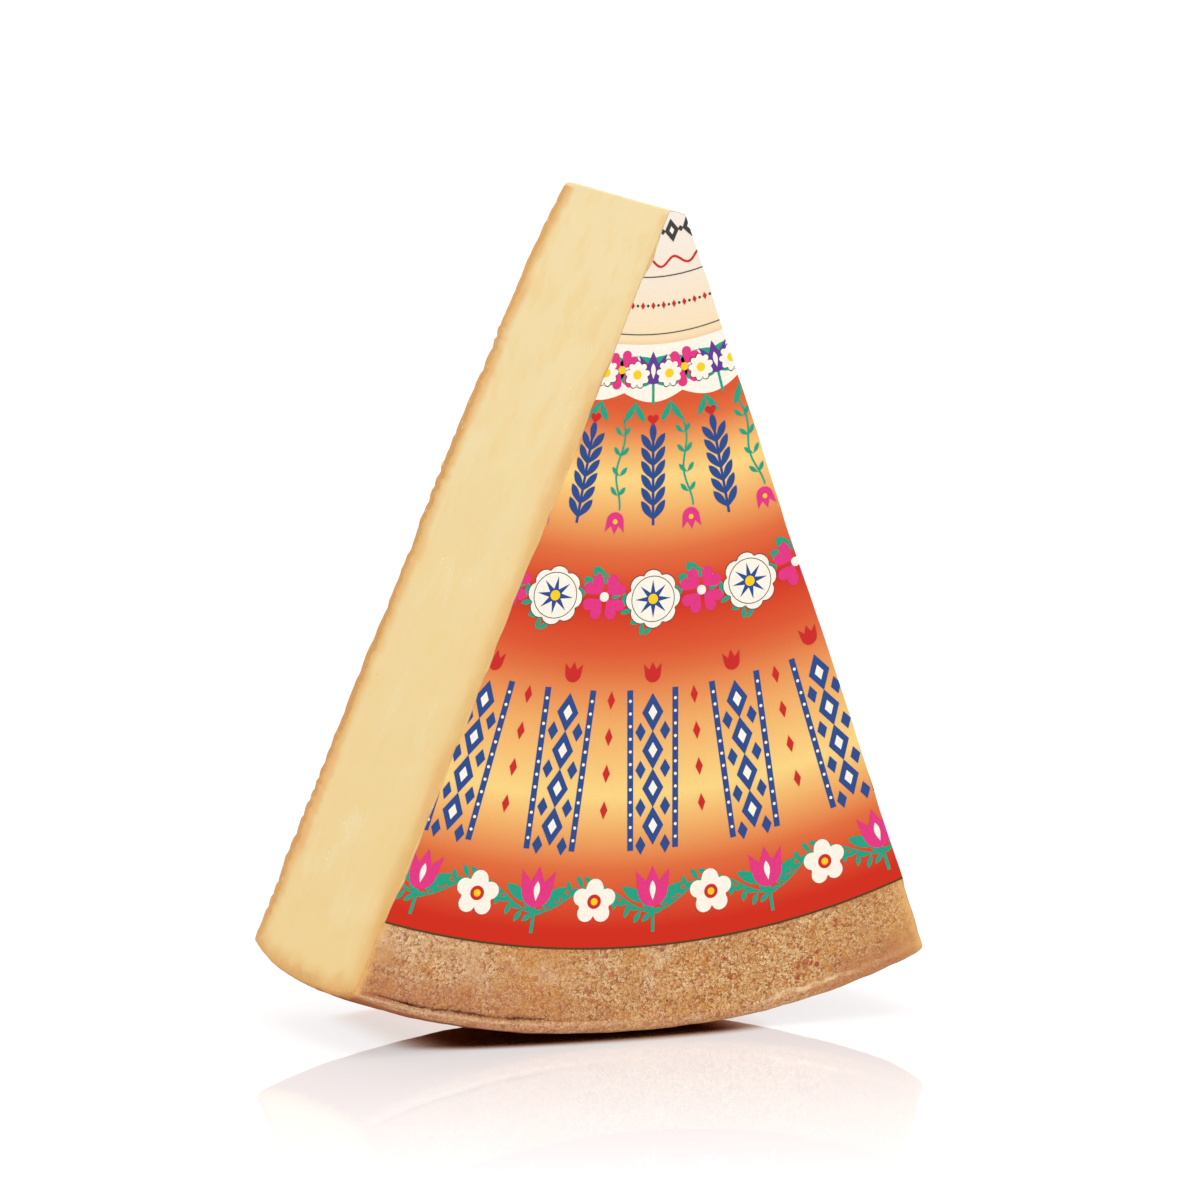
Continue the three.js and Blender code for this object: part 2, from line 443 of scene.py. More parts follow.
def makeRind():
    # brown ground under curled pale grain, with crimson spots, dark dots and the crack by the rim, and
    # painted shade in the pits, in and about the crack, and on the rim underneath
    material, shader, place = newMaterial("ripenedRind")
    side = attributeOf(place, "crackSide")  # mm from the crack, below it on the minus side
    axes = addNode("SeparateXYZ", {0: place})
    x, height = axes["X"], axes["Z"]
    toLeft = fade(x, -100, 40, 1, 0)
    low = fade(side, 2, 20, 0.9, 0) * toLeft
    fromCut = attributeOf(place, "fromCut") + (noise(place, 4, 3) * 5 - 2.5)
    rough = fade(fromCut, 0, 3, 0.4, 1)  # next to a cut the rind is rubbed smooth
    grain, pits, fine = rindGrain(place, toLeft, low, rough, x)
    greyish = toLeft * 0.15 + noise(place, 21, 3, 0.6) + fade(side, 6, 40, -0.05, 0.08)
    pinkish = fade(noise(place, 13, 3, 0.6), 0.54, 0.68, 0, 0.75)
    spots = fade(chosenCells(place, rind["spotSize"], 0.7, 0.75, 0.6), -0.12, 0.1, 0, 0.85)
    spots = spots * fade(noise(place, 11, 1), 0.5, 0.6, 0.1, 1)
    colour = painted(rind["ground"], rind, [
        (fade(noise(place, 26), 0.42, 0.58), "warm"),
        (fade(greyish, 0.54, 0.72, 0, 0.85), "greyish"),
        (larger(pinkish, low), "pinkish"),
        # dark pits: partly the rind's darker brown, partly painted shade in the hollows between the grain
        (pits * 0.95, "pit"),
        (grain * 0.75, "grain"),
        (fade(noise(place, 3.6, 3, 0.6), 0.44, 0.6, 0, 0.35), "golden"),
        (spots * fade(x, -50, 20, 0.4, 1) * fade(side, 0.5, 3), "crimson"),
        (fade(chosenCells(place, rind["dotSize"], 0.12, 0.14, 0.02), 0, 0.05, 0, 0.85), "dot"),
    ])

    # below the crack a smoother lip, streaked along the rim, with a waxy ridge towards the right
    alongRim = addNode("CombineXYZ", {0: x * 0.3, 1: side})
    lipTone = painted(rind["lip"], rind, [
        (fade(noise(alongRim, 1.7, 5, 0.75), 0.36, 0.66), "lipStreak"),
        (fade(x, -10, 50, 0, 0.6), "lipRight"),
    ])
    lip = fade(side, -1, -0.3, 0.4, 0)
    chips = fade(noise(place, 1, 3, 0.7), 0.54, 0.64) * lip
    nicks = fade(noise(place, 1.3, 3, 0.7, 0.3), 0.55, 0.64) * lip
    fold = fade(abs(side + 1.6), 0.2, 0.9, 0.6, 0) * fade(fine, 0.4, 0.52)
    ridge = fade(abs(side + 0.3 + (noise(place, 8, 3, 0.6) * 5 - 2.5)), 0.3, 1.2, 1, 0)
    ridge = ridge * fade(noise(place, 7, 3), 0.42, 0.54, 0.3, 0.85)
    colour = painted(blendTones(lip, colour, lipTone), rind, [
        (chips * 1.4, "grain"),
        (nicks * 1.4, "pit"),
        (fold * toLeft, "wax"),
        (fade(side, 2, 7, 0.6, 0) * fade(x, 62, 82), "lipRight"),
        (ridge * fade(x, 40, 58) * fade(x, 72, 86, 1, 0.15), "wax"),
        # painted shade on the rim underneath, darkest across the rim where the wedge stands
        (fade(side, -10, -5, 0.85, 0), "under"),
        (fade(side, -24, -8, 0.8, 0), "deepUnder"),
        (fade(fromCut, 1, 13, 0.36, 0) * fade(x, 20, 60), "gold"),
    ])
    bareTone = blendTones(fade(height, 45, 60), rind["gold"], rind["paste"])
    bare = fade(fromCut, 0, 3.6, 0.85, 0) * (grain * -0.5 + 1)

    # the crack: a ragged dark line of painted shade where it is open, with a softer painted shadow about it
    across = side + (noise(place, 2.4, 4, 0.75) * 3 - 1.5)
    openness = attributeOf(place, "crackShade")
    fromCrack = abs(across) - openness * (noise(place, 4.5, 3, 0.6) * 2.6 - 0.8)
    colour = painted(blendTones(bare, colour, bareTone), rind, [
        (fade(fromCrack, 0, 2.2, 0.45, 0) * fade(openness, 0.3, 0.8), "pit"),
        (fade(fromCrack, -0.35, 0.15, 0.9, 0) * fade(openness, 0.02, 0.3), "crack"),
    ])
    gloss = fade(side, -10, -4, 0, rind["gloss"])
    normal = bumps([(noise(place, 5, 3), 0.9 * mm, 0.5), (grain, 0.25 * mm, 0.5), (pits, -0.12 * mm, 0.4)])
    surface = {"Base Color": colour, "Roughness": rind["roughness"], "Specular IOR Level": gloss}
    setInputs(shader, {**surface, **normal})
    return material


cheese = {
    "columns": 130,  # from cut to cut
    "flatRows": 180,  # from the tip to the rind band
    "bandRows": 50,
    "bandShare": 0.9,  # where the close rows begin, from tip to rim
    "roundingSteps": 7,
    "rimSteps": 36,
    "relief": [(0.30 * mm, 21 * mm, 11), (0.18 * mm, 6 * mm, 12), (0.09 * mm, 1.9 * mm, 13)],
    "crackDepth": 1.3 * mm,
    "crackWidth": 0.6 * mm,
    "crackDistance": 4.2 * mm,  # from the rim's edge
    "crackWander": [(0.5 * mm, 14 * mm, 21)],
    "crackOpening": [(0.35, 9 * mm, 22)],
    "dishDepth": 0.8 * mm,  # the soft hollow that takes over from the crack at the right
    "dishDistance": 3 * mm,
    "dishWidth": 3.5 * mm,
    "cutWave": [(0.25 * mm, 34 * mm, 41)],
    "cutRipple": [(0.0875 * mm, 11 * mm, 42)],
    "labelEnds": (0.72, 0.93),  # where the label gives way to bare rind, from tip to rim
    "frontDepth": (7.5 * mm, 4.5 * mm),  # hardly any brown there: the paste counts as so much deeper
    "frontShare": (0.5, 0.55),
    "plainDepth": 30 * mm,  # a depth that stands for no rind near, at the tip
    "sharpEdge": math.radians(62),
    "edgeColumns": (0, 0.0022, 0.0045, 0.0072, 0.011, 0.016),  # close columns beside each cut
}
backBumps = {
    "pitch": 6.6 * mm,  # of their rows on the back flat
    "height": 1.4 * mm,
    "growth": 0.8,  # how much taller they are where the knife tore them, next to a cut
    "growthReach": 7 * mm,
    "skew": 0.62,  # below 1 a bump rises fast and falls away slowly
    "roundness": 0.45,
    "middle": 0.72,
    "sizeRange": (0.1, 1.1),
    "tipFade": (0.06, 0.2),  # from where to where they grow and end, from tip to rim
    "rimFade": (0.975, 1),
    "layers": {
        "stray": [(1.2, 23 * mm, 31), (0.5, 9 * mm, 32)],
        "size": [(0.4, 24 * mm, 34), (0.3, 8 * mm, 33)],
        "slow": [(0.45, 37 * mm, 35)],
        "chips": [(0.5, 3.4 * mm, 36)],
    },
}
labelArc = {"radius": 301.7 * mm, "x": -9.1 * mm, "z": 35 * mm}


def bell(value, width):
    return np.exp(-((value / width) ** 2))


def rimRadiusAt(y, angle):
    # a swelling of the given fullness, softly flattened where the wedge stands
    fromMiddle = wheel["radius"] * np.sin(angle) - wheel["centreX"] - wheel["sagOffset"]
    flattened = wheel["sag"] * bell(fromMiddle, wheel["sagReach"])
    swell = wheel["rimBulge"] * np.abs(y / half) ** wheel["rimFullness"]
    lean = wheel["lean"] * (y / half) * bell(angle - cuts["left"], wheel["leanReach"])
    return wheel["radius"] - flattened - swell + lean


def backDome(share):
    # a sine from tip to rim, less a power that dies away from the tip
    swell = wheel["backSwell"] * np.sin(wheel["backSwellTurn"] * share)
    return swell - wheel["backHollow"] * (1 - share) ** wheel["backHollowPower"]


def fromApex(points):
    # the angle from plumb of each point's ray from the apex, and the distance along it
    across, down = points[..., 0] - apex[0], apex[2] - points[..., 2]
    return np.arctan2(across, down), np.hypot(across, down)


def fromCuts(points):
    # how far the points are from the left and the right cut
    angle, reach = fromApex(points)
    return reach * np.sin(angle - cuts["left"]), reach * np.sin(cuts["right"] - angle)


def rindRelief(points):
    # how far the rind stands out: slow swells, small lumps and grain, less the wear beside a cut
    left, right = (np.exp(-away / cuts["edgeWearReach"]) for away in fromCuts(points))
    return unevenness(points, cheese["relief"]) - cuts["edgeWear"] * (left + cuts["rightWear"] * right)


def bladeWave(points):
    # beside each cut the points follow the slow wave of the blade, which dies away inwards
    reach = apex[2] - points[..., 2]
    line = pointsOf(0, points[..., 1] * 0.4, reach)
    size = cuts["bladeWave"] * ease(reach, 10 * mm, 40 * mm)
    moved = points
    for away, cut, side in zip(fromCuts(points), (cuts["left"], cuts["right"]), (-1, 1)):
        fading = np.exp(-np.maximum(away, 0) / cuts["bladeReach"])
        push = size * unevenness(line, cuts["bladeLayers"][side]) * fading
        moved = moved + push[..., None] * squareTo(cut)
    return moved


def crackAt(angle, distance):
    # how far a point of the front flat is inside the crack's line, and how open the crack is there
    base = placed(angle, distance, -half)
    edge = distanceToWheel(angle, rimRadiusAt(half, angle))
    away = edge - distance - cheese["crackDistance"] - unevenness(base, cheese["crackWander"])
    opening = (1 - ease(acrossAt(angle), 0.2, 0.5)) * (0.75 + unevenness(base, cheese["crackOpening"]))
    left, right = fromCuts(base)
    return away, np.clip(opening * ease(left, 3 * mm, 9 * mm), 0, 1)


def frontChain(angle, share):
    # the front flat from tip to edge: flat under the label, then rind, and the crack by the rim
    edge = rimRadiusAt(half, angle) - wheel["frontRounding"]
    distance = mix(distanceToTip(angle), distanceToWheel(angle, edge), share)
    beyond = distance - distanceToCircle(angle, *labelArc.values())
    relief = rindRelief(placed(angle, distance, -half)) * ease(beyond, 0.2 * mm, 3 * mm)
    away, opening = crackAt(angle, distance)
    crack = cheese["crackDepth"] * opening * bell(away, cheese["crackWidth"])
    closed = ease(acrossAt(angle), 0.35, 0.72)
    dish = cheese["dishDepth"] * closed * bell(away - cheese["dishDistance"], cheese["dishWidth"])
    return placed(angle, distance, -half - relief + crack + dish)


def rimChain(angle, step):
    # a quarter turn round the front edge, over the rim, and a quarter turn round the back edge
    turns, flats = cheese["roundingSteps"], cheese["rimSteps"]
    front, back = wheel["frontRounding"], wheel["backRounding"]
    backY = half + backDome(1.0) - back
    frontTurn = np.clip(step / turns, 0, 1) * math.pi / 2
    backTurn = np.clip((step - turns - flats) / turns, 0, 1) * math.pi / 2
    middle = mix(-half + front, backY, np.clip((step - turns) / flats, 0, 1))
    y = middle - front * np.cos(frontTurn) + back * np.sin(backTurn)
    taken = front * (1 - np.sin(frontTurn)) + back * (1 - np.cos(backTurn))
    radius = rimRadiusAt(np.minimum(y, backY), angle) - taken
    relief = rindRelief(placed(angle, distanceToWheel(angle, radius), y))
    outwards = np.sin(frontTurn) * np.cos(backTurn)
    sideways = np.sin(backTurn) - np.cos(frontTurn)
    return placed(angle, distanceToWheel(angle, radius + relief * outwards), y + relief * sideways)


def backChain(angle, share):
    # the back flat from tip to edge, in uneven rows of bumps that rise fast and fall away slowly
    backY = half + backDome(1.0) - wheel["backRounding"]
    edge = rimRadiusAt(backY, angle) - wheel["backRounding"]
    distance = mix(distanceToTip(angle) + cuts["tipWear"], distanceToWheel(angle, edge), share)
    y = half + backDome(share) - cuts["tipWear"] * np.exp(-share * 120)
    base = placed(angle, distance, y)
    stray, size, slow, chips = (unevenness(base, layers) for layers in backBumps["layers"].values())
    phase = np.mod(distance / backBumps["pitch"] + stray, 1)
    wave = np.sin(math.pi * phase ** backBumps["skew"]) ** backBumps["roundness"] - backBumps["middle"]
    torn = backBumps["growth"] * np.exp(-np.minimum(*fromCuts(base)) / backBumps["growthReach"])
    wave = wave * np.clip(0.6 + size, *backBumps["sizeRange"]) * (1 + torn) + slow + chips * (0.4 + torn)
    fromTip = ease(share, 0, 0.02)
    inner = fromTip * (1 - ease(share, *backBumps["rimFade"]))
    inner = inner * mix(0.4, 1, ease(share, *backBumps["tipFade"]))
    relief = rindRelief(base) * fromTip + backBumps["height"] * wave * inner
    return placed(angle, distance, y + relief)


def tipChain(angle, depth):
    # the narrow flat at the tip, from front (0) to back (1), with its back corner worn
    back = half + backDome(0.0) - cuts["tipWear"]
    y = mix(-half, back, depth)
    worn = cuts["tipWear"] * ease(y, back - 2 * mm, back)
    return placed(angle, distanceToTip(angle) + worn, y)


def cutSurface(front, back, tip, rim, depth, outwards):
    # across from front to back, plus along from tip to rim, less the blend of the four corners
    length = (front - front[0]) @ (front[-1] - front[0])
    share = (length / length[-1])[:, None, None]
    depth = depth[None, :, None]
    crosswise = mix(front[:, None], back[:, None], depth)
    lengthwise = mix(tip[None], rim[None], share)
    corners = mix(mix(front[0], front[-1], share), mix(back[0], back[-1], share), depth)
    flat = crosswise + lengthwise - corners
    frontAway = flat[..., 1] - front[:, None, 1]
    backAway = back[:, None, 1] - flat[..., 1]
    rimAway = np.linalg.norm(rim[None] - flat, axis=-1)
    tipAway = np.linalg.norm(tip[None] - flat, axis=-1)
    bare = ease(share[..., 0], *cheese["labelEnds"])
    soft = frontAway * mix(*cheese["frontShare"], bare) + mix(*cheese["frontDepth"], bare)
    rindDepth = np.minimum(np.minimum(soft, backAway), rimAway + 2 * mm)
    border = np.minimum(np.minimum(frontAway, backAway), np.minimum(rimAway, tipAway))
    wave = unevenness(flat, cheese["cutWave"]) + unevenness(flat * [1, 2, 0.5], cheese["cutRipple"])
    lift = wave * ease(border, 0, 6 * mm)
    return flat + lift[..., None] * outwards, rindDepth


def makeCheese():
    # a skin of front flat, rim, back flat and tip, closed at each side by a cut
    rows = cheese["flatRows"] + cheese["bandRows"]
    steps = 2 * cheese["roundingSteps"] + cheese["rimSteps"]
    shares = np.concatenate([
        np.linspace(0, cheese["bandShare"], cheese["flatRows"], endpoint=False),
        np.linspace(cheese["bandShare"], 1, cheese["bandRows"] + 1),
    ])
    near = np.array(cheese["edgeColumns"])
    middle = np.linspace(near[-1], 1 - near[-1], cheese["columns"] - 2 * len(near) + 3)[1:-1]
    across = np.concatenate([near, middle, 1 - near[::-1]])
    angles = mix(cuts["left"], cuts["right"], across)[:, None]
    front = frontChain(angles, shares)
    rim = rimChain(angles, np.arange(1, steps + 1))
    depth = np.concatenate([front[0, -1:, 1], rim[0, :, 1]])
    depth = (depth - depth[0]) / (depth[-1] - depth[0])
    back = backChain(angles, shares[::-1][1:])
    tip = tipChain(angles, depth[::-1][1:-1])
    skin = np.concatenate([front, rim, back, tip], axis=1)
    around = skin.shape[1]
    number = numbered(len(skin), around)
    faces = [gridFaces(np.concatenate([number, number[:, :1]], axis=1))]
    points = [skin.reshape(-1, 3)]
    rindDepth = [np.zeros(number.size)]
    first = number.size
    for column, angle, flip in ((0, cuts["left"], False), (-1, cuts["right"], True)):
        loop = np.concatenate([number[column], number[column, :1]])
        chains = {
            "front": loop[:rows + 1],
            "rim": loop[rows:rows + steps + 1],
            "back": loop[rows + steps:2 * rows + steps + 1][::-1],
            "tip": loop[2 * rows + steps:][::-1],
        }
        outwards = squareTo(angle) * (1 if flip else -1)
        corners = {name: points[0][chain] for name, chain in chains.items()}
        surface, surfaceDepth = cutSurface(**corners, depth=depth, outwards=outwards)
        grid = np.zeros((rows + 1, steps + 1), int)
        grid[1:-1, 1:-1] = numbered(rows - 1, steps - 1, first)
        grid[:, 0], grid[:, -1] = chains["front"], chains["back"]
        grid[0], grid[-1] = chains["tip"], chains["rim"]
        first += (rows - 1) * (steps - 1)
        faces.append(gridFaces(grid, flip))
        points.append(surface[1:-1, 1:-1].reshape(-1, 3))
        rindDepth.append(surfaceDepth[1:-1, 1:-1].ravel())
    points = np.concatenate(points)
    waved = bladeWave(points)
    waved[:, 2] = np.maximum(waved[:, 2], 0)
    faces = np.concatenate(faces)
    made = newPiece("cheeseWedge", waved, faces, [makePaste(), makeRind()], smooth=True)
    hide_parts("cheese")
    mesh = made.data
    slots = np.zeros(len(faces), int)
    slots[:cheese["columns"] * around].reshape(-1, around)[:, :2 * rows + steps] = 1
    mesh.polygons.foreach_set("material_index", slots)
    turning = bmesh.new()
    turning.from_mesh(mesh)
    bmesh.ops.recalc_face_normals(turning, faces=turning.faces)
    turning.to_mesh(mesh)
    turning.free()
    mesh.set_sharp_from_angle(angle=cheese["sharpEdge"])
    rindDepth = np.concatenate(rindDepth)
    rindDepth[number[:, 2 * rows + steps + 1:]] = cheese["plainDepth"]
    away, opening = crackAt(*fromApex(points))
    row = np.full(len(points), around)
    row[:number.size] = np.tile(np.arange(around), len(number))
    fromEdge = half - np.abs(points[:, 1] - apex[1])
    underneath = (row > rows) & (row < rows + steps) & (fromEdge > 2 * mm)
    attributes = {
        "rindDepth": rindDepth / mm,
        "fromCut": np.minimum(*fromCuts(points)) / mm,
        "crackSide": np.where(underneath, -cheese["crackDistance"] - fromEdge, away) / mm,
        "crackShade": np.where(row <= rows, opening, 0),
    }
    for name, values in attributes.items():
        attribute = mesh.attributes.new(name, "FLOAT", "POINT")
        attribute.data.foreach_set("value", values.astype(np.float32))
    print("cheese:", len(mesh.polygons) * 2, "triangles")


makeCheese()


sheet = {
    "thickness": 0.15 * mm,
    "lift": 0.02 * mm,  # between the cheese and the back of the paper
    "inset": 0.15 * mm,  # from the cuts and the tip
    "tipGap": 0.2 * mm,  # from the tip to the print
    "wobble": 0.7 * mm,  # how unevenly the knife left the paper at the left cut
    "wobbleFrom": 14 * mm,  # from the apex
    "wobbleReach": 4 * mm,  # how far from the cut it dies away
    "wobbleLayers": [(1, 21 * mm, 53), (0.5, 8 * mm, 51), (0.3, 3 * mm, 52)],
    "columns": 60,
    "rows": 120,
    "layer": 0.03 * mm,  # from one layer of ink to the next
    "ink": 0.024 * mm,
}


def sheetPlace(across, down, layer=0.0):
    # from apex coordinates in the flat to the shared frame; near the left cut the knife's line wobbles
    angle = np.arctan2(across, down)
    reach = np.hypot(across, down)
    fromKnife = reach * np.sin(angle - cuts["left"])
    line = pointsOf(0, 0, reach)
    uneven = np.clip(0.6 + unevenness(line, sheet["wobbleLayers"]), 0, 2)
    push = sheet["wobble"] * uneven * ease(reach, sheet["wobbleFrom"], 2 * sheet["wobbleFrom"])
    push = (sheet["inset"] + push) * np.exp(-fromKnife / sheet["wobbleReach"])
    flat = pointsOf(apex[0] + across, apex[1] - half, apex[2] - down)
    waved = bladeWave(flat + push[..., None] * squareTo(cuts["left"]))
    waved[..., 1] -= sheet["lift"] + sheet["thickness"] + layer * sheet["layer"]
    return waved


paper = {
    **tones(
        creamTop=(243, 233, 226), cream=(243, 227, 206), peach=(245, 221, 179),
        gold=(248, 211, 129), amber=(237, 168, 96), orange=(222, 108, 56), ember=(218, 84, 42),
        vermilion=(213, 66, 30), red=(206, 36, 5),
    ),
    "rings": [  # distance from the label's centre in mm, and the tone there
        (40, "creamTop"), (66, "cream"), (86, "peach"), (97, "ember"), (109, "ember"), (116, "orange"),
        (125, "amber"), (135, "gold"), (148, "amber"), (161, "orange"), (169, "ember"), (178, "red"),
        (196, "ember"), (203, "orange"), (221, "amber"), (247, "gold"), (260, "amber"), (273, "orange"),
        (281, "ember"), (288, "vermilion"), (295, "red"),
    ],
    "surface": {"Roughness": 0.55, "Specular IOR Level": 0.18},
}


def makePaper():
    # rings of colour about the label's centre, from cream through gold and orange to red
    material, shader, place = newMaterial("labelPaper")
    centre = (Vector(apex) + Vector((labelArc["x"], 0, labelArc["z"]))) / mm
    offset = vector("MULTIPLY", vector("SUBTRACT", place, centre), (1, 0, 1))
    radius = vector("LENGTH", offset)["Value"]
    ringed = addNode("ValToRGB", {"Fac": calculate("DIVIDE", radius, labelArc["radius"] / mm)})
    ramp = ringed.socket.node.color_ramp
    ramp.interpolation = "LINEAR"
    while len(ramp.elements) < len(paper["rings"]):
        ramp.elements.new(1.0)
    for element, (ring, name) in zip(ramp.elements, paper["rings"]):
        element.position = ring * mm / labelArc["radius"]
        element.color = paper[name]
    colour = shaded(ringed, fade(noise(place, 0.5, 3, 0.6), 0.3, 0.7, 0.97, 1.03))
    normal = bumps([(noise(place, 22), 0.3 * mm, 0.25), (noise(place, 0.6, 3), 0.03 * mm, 0.3)])
    setInputs(shader, {"Base Color": colour, **paper["surface"], **normal})
    return material


def finishSheet(piece, thickness):
    # gives the printed side its thickness towards the cheese
    solid = piece.modifiers.new("thickness", "SOLIDIFY")
    solid.thickness = thickness
    solid.offset = -1
    solid.use_even_offset = False


def makeLabel():
    # rays from the apex, from the tip to the label's outer arc
    angles = np.linspace(cuts["left"], cuts["right"], sheet["columns"] + 1)[:, None]
    share = np.linspace(0, 1, sheet["rows"] + 1)[None, :]
    edge = distanceToCircle(angles, *labelArc.values())
    distance = mix(distanceToTip(angles) + sheet["inset"], edge, share)
    points = sheetPlace(distance * np.sin(angles), distance * np.cos(angles))
    faces = gridFaces(numbered(*distance.shape), True)
    made = newPiece("labelSheet", points.reshape(-1, 3), faces, [makePaper()])
    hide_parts("label")
    finishSheet(made, sheet["thickness"])
    print("label:", distance.size, "points")


makeLabel()


# shapes of the print, in millimetres, upright about their own centre
def fullTurn(count):
    return np.radians(np.linspace(0, 360, count + 1))[:-1]


def disc(radius, count=24):
    turn = fullTurn(count)
    return radius * pointsOf(np.cos(turn), np.sin(turn))


def bar(width, height):
    return np.array([[-1, -1], [1, -1], [1, 1], [-1, 1]]) * [width / 2, height / 2]


def lozenge(width, height):
    return np.array([[0, -1], [1, 0], [0, 1], [-1, 0]]) * [width / 2, height / 2]


def petal(length, width, bend=0.0, count=9):
    # from its foot at the origin: the half width is a sine of the way up, fuller towards the end
    way = np.linspace(0, 1, count)
    side = width / 2 * np.sin(math.pi * way**1.25) ** 0.85
    middle = bend * way**2
    right, left = pointsOf(middle + side, length * way), pointsOf(middle - side, length * way)
    return np.concatenate([right, left[-2:0:-1]])


def heart(size, count=26):
    # across a cubed sine, up four cosines
    turn = fullTurn(count)
    x = 16 * np.sin(turn) ** 3
    y = 13 * np.cos(turn) - 5 * np.cos(2 * turn) - 2 * np.cos(3 * turn) - np.cos(4 * turn)
    return pointsOf(x, y + 2) * size / 32


def tulip(width, height):
    # a round cup below, three points above
    turn = np.radians(np.linspace(180, 360, 13))
    cup = pointsOf(np.cos(turn) * width / 2, np.sin(turn) * height * 0.45)
    top = np.array([[0.56, 0.5], [0.22, 0.2], [0, 0.6], [-0.22, 0.2], [-0.56, 0.5]]) * [width, height]
    return np.concatenate([cup, top])


def lobed(radius, lobes, waist, count=48):
    # a ring of round lobes: the radius swings between the waist's share and the whole
    turn = fullTurn(count)
    swing = np.abs(np.cos(lobes * turn / 2)) ** 0.7
    return (radius * mix(waist, 1, swing))[:, None] * pointsOf(np.sin(turn), np.cos(turn))


def turned(shape, degrees, shift=(0, 0)):
    # turned clockwise about its foot, then shifted
    turn = math.radians(degrees)
    matrix = np.array([[math.cos(turn), math.sin(turn)], [-math.sin(turn), math.cos(turn)]])
    return shape @ matrix + shift


inks = tones(
    cream=(252, 243, 228), grey=(62, 60, 58), red=(204, 34, 30), pink=(226, 50, 128),
    purple=(96, 54, 146), teal=(24, 160, 126), navy=(38, 72, 138), yellow=(253, 205, 20),
    olive=(74, 62, 22),
)
inkSurface = {"Roughness": 0.5, "Specular IOR Level": 0.18}
mirrorSides, mirrorEnds = (-1, 1), (1, -1)
printed = {name: [] for name in inks}  # for each ink, its shapes in the flat, each with its layer


def stamp(ink, shape, layer):
    # keeps a shape that is already in label coordinates, a hair off the ones before it
    hair = 0.12 * (len(printed[ink]) % 5)
    printed[ink].append((np.asarray(shape), layer + hair))


def press(ink, shape, spot, layer, turn=0.0, mirror=None):
    # a motif at a spot of (radius, degrees) about the label's centre, its top towards the centre
    if mirror:
        press(ink, shape * mirror, spot, layer, turn)  # its mirror image first
    radius, angle = spot[0], math.radians(spot[1])
    upright = turned(shape, turn)
    radial = radius - upright[:, 1]
    x = radial * math.sin(angle) + upright[:, 0] * math.cos(angle)
    down = radial * math.cos(angle) - upright[:, 0] * math.sin(angle)
    stamp(ink, pointsOf(x, down), layer)


def arcPoints(radii, degrees):
    angle = np.radians(degrees)
    return pointsOf(radii * np.sin(angle), radii * np.cos(angle))


def band(ink, left, right, layer):
    # quads between two rows of points
    for i in range(len(left) - 1):
        stamp(ink, [left[i], left[i + 1], right[i + 1], right[i]], layer)


def ribbon(ink, radii, degrees, width, layer):
    # a line of that width through points given by radius and angle about the label's centre
    path = arcPoints(radii, degrees)
    along = np.gradient(path, axis=0)
    along /= np.linalg.norm(along, axis=1)[:, None]
    side = pointsOf(-along[:, 1], along[:, 0]) * width / 2
    band(ink, path + side, path - side, layer)


def leafPair(spot, length, width, layer, spread):
    # two bent leaves, each that many degrees off the middle
    leaf = turned(petal(length, width, length * 0.15), spread)
    press("teal", leaf, spot, layer, mirror=mirrorSides)


def wheatEar(spot, height, width, rows):
    # a navy ear: a stalk with pairs of pointed grains, and one on top
    press("navy", bar(width * 0.1, height), spot, 1)
    step = height / (rows + 1)
    for row in range(rows):
        grain = turned(petal(step * 1.75, width * 0.27), 33, (0, (row + 0.4) * step - height / 2))
        press("navy", grain, spot, 1.4, mirror=mirrorSides)
    press("navy", petal(step * 1.7, width * 0.26) + [0, height / 2 - step], spot, 1.4)


def lozengeChain(spot, height, width, count):
    # a navy chain of lozenges with small cream ones in them, between two dotted lines
    step = height / count
    for i in range(count):
        up = (i + 0.5) * step - height / 2
        press("navy", lozenge(width * 0.62, step * 1.02) + [0, up], spot, 1)
        press("cream", lozenge(width * 0.26, step * 0.42) + [0, up], spot, 3)
        beside = lozenge(width * 0.3, step * 0.5) + [width * 0.36, up - step / 2]
        press("navy", beside, spot, 1.3, mirror=mirrorSides)
    for side in (-1, 1):
        aside = side * width * 0.66
        press("navy", bar(width * 0.17, height * 1.06) + [aside, 0], spot, 1)
        for i in range(count * 3):
            dot = disc(width * 0.045, 8) + [aside, (i + 0.5) * step / 3 - height / 2]
            press("cream", dot, spot, 3)


def tulipSprig(spot, size, ink):
    # a tulip with a cream vein, on a stalk with two leaves
    leaf = turned(petal(size * 0.95, size * 0.3, size * 0.12), 68, (0, -size * 0.35))
    press("teal", leaf, spot, 1, mirror=mirrorSides)
    press("teal", bar(size * 0.09, size * 0.7) + [0, -size * 0.75], spot, 1.2)
    press(ink, tulip(size * 0.82, size), spot, 2)
    press("cream", petal(size * 0.5, size * 0.16) + [0, -size * 0.28], spot, 3)


def cloverBloom(spot, size, ink, centre, turn=0):
    # four hearts round a disc
    for quarter in range(4):
        leaf = heart(size * 0.5) + [0, size * 0.27]
        press(ink, turned(leaf, quarter * 90 + 45), spot, 2, turn)
    press(centre, disc(size * 0.1), spot, 3, turn)


def daisy(spot, size, centre):
    # a cream flower of round lobes on a thin grey outline
    press("grey", lobed(size / 2 + 0.35, 9, 0.72), spot, 2)
    press("cream", lobed(size / 2, 9, 0.7), spot, 3)
    press(centre, disc(size * 0.17, 14), spot, 4)


def starRoundel(spot, size, ink):
    # a cream lobed field on a thin grey outline, with a small star of lozenges
    press("grey", lobed(size / 2 + 0.3, 8, 0.86), spot, 1.6)
    press("cream", lobed(size / 2, 8, 0.86), spot, 2.4)
    press("grey", disc(size * 0.4, 40), spot, 3)
    press("cream", disc(size * 0.4 - 0.3, 40), spot, 3.5)
    for i in range(4):
        press(ink, lozenge(size * 0.13, size * 0.66), spot, 4, i * 45)
    press("yellow", disc(size * 0.09, 14), spot, 5)


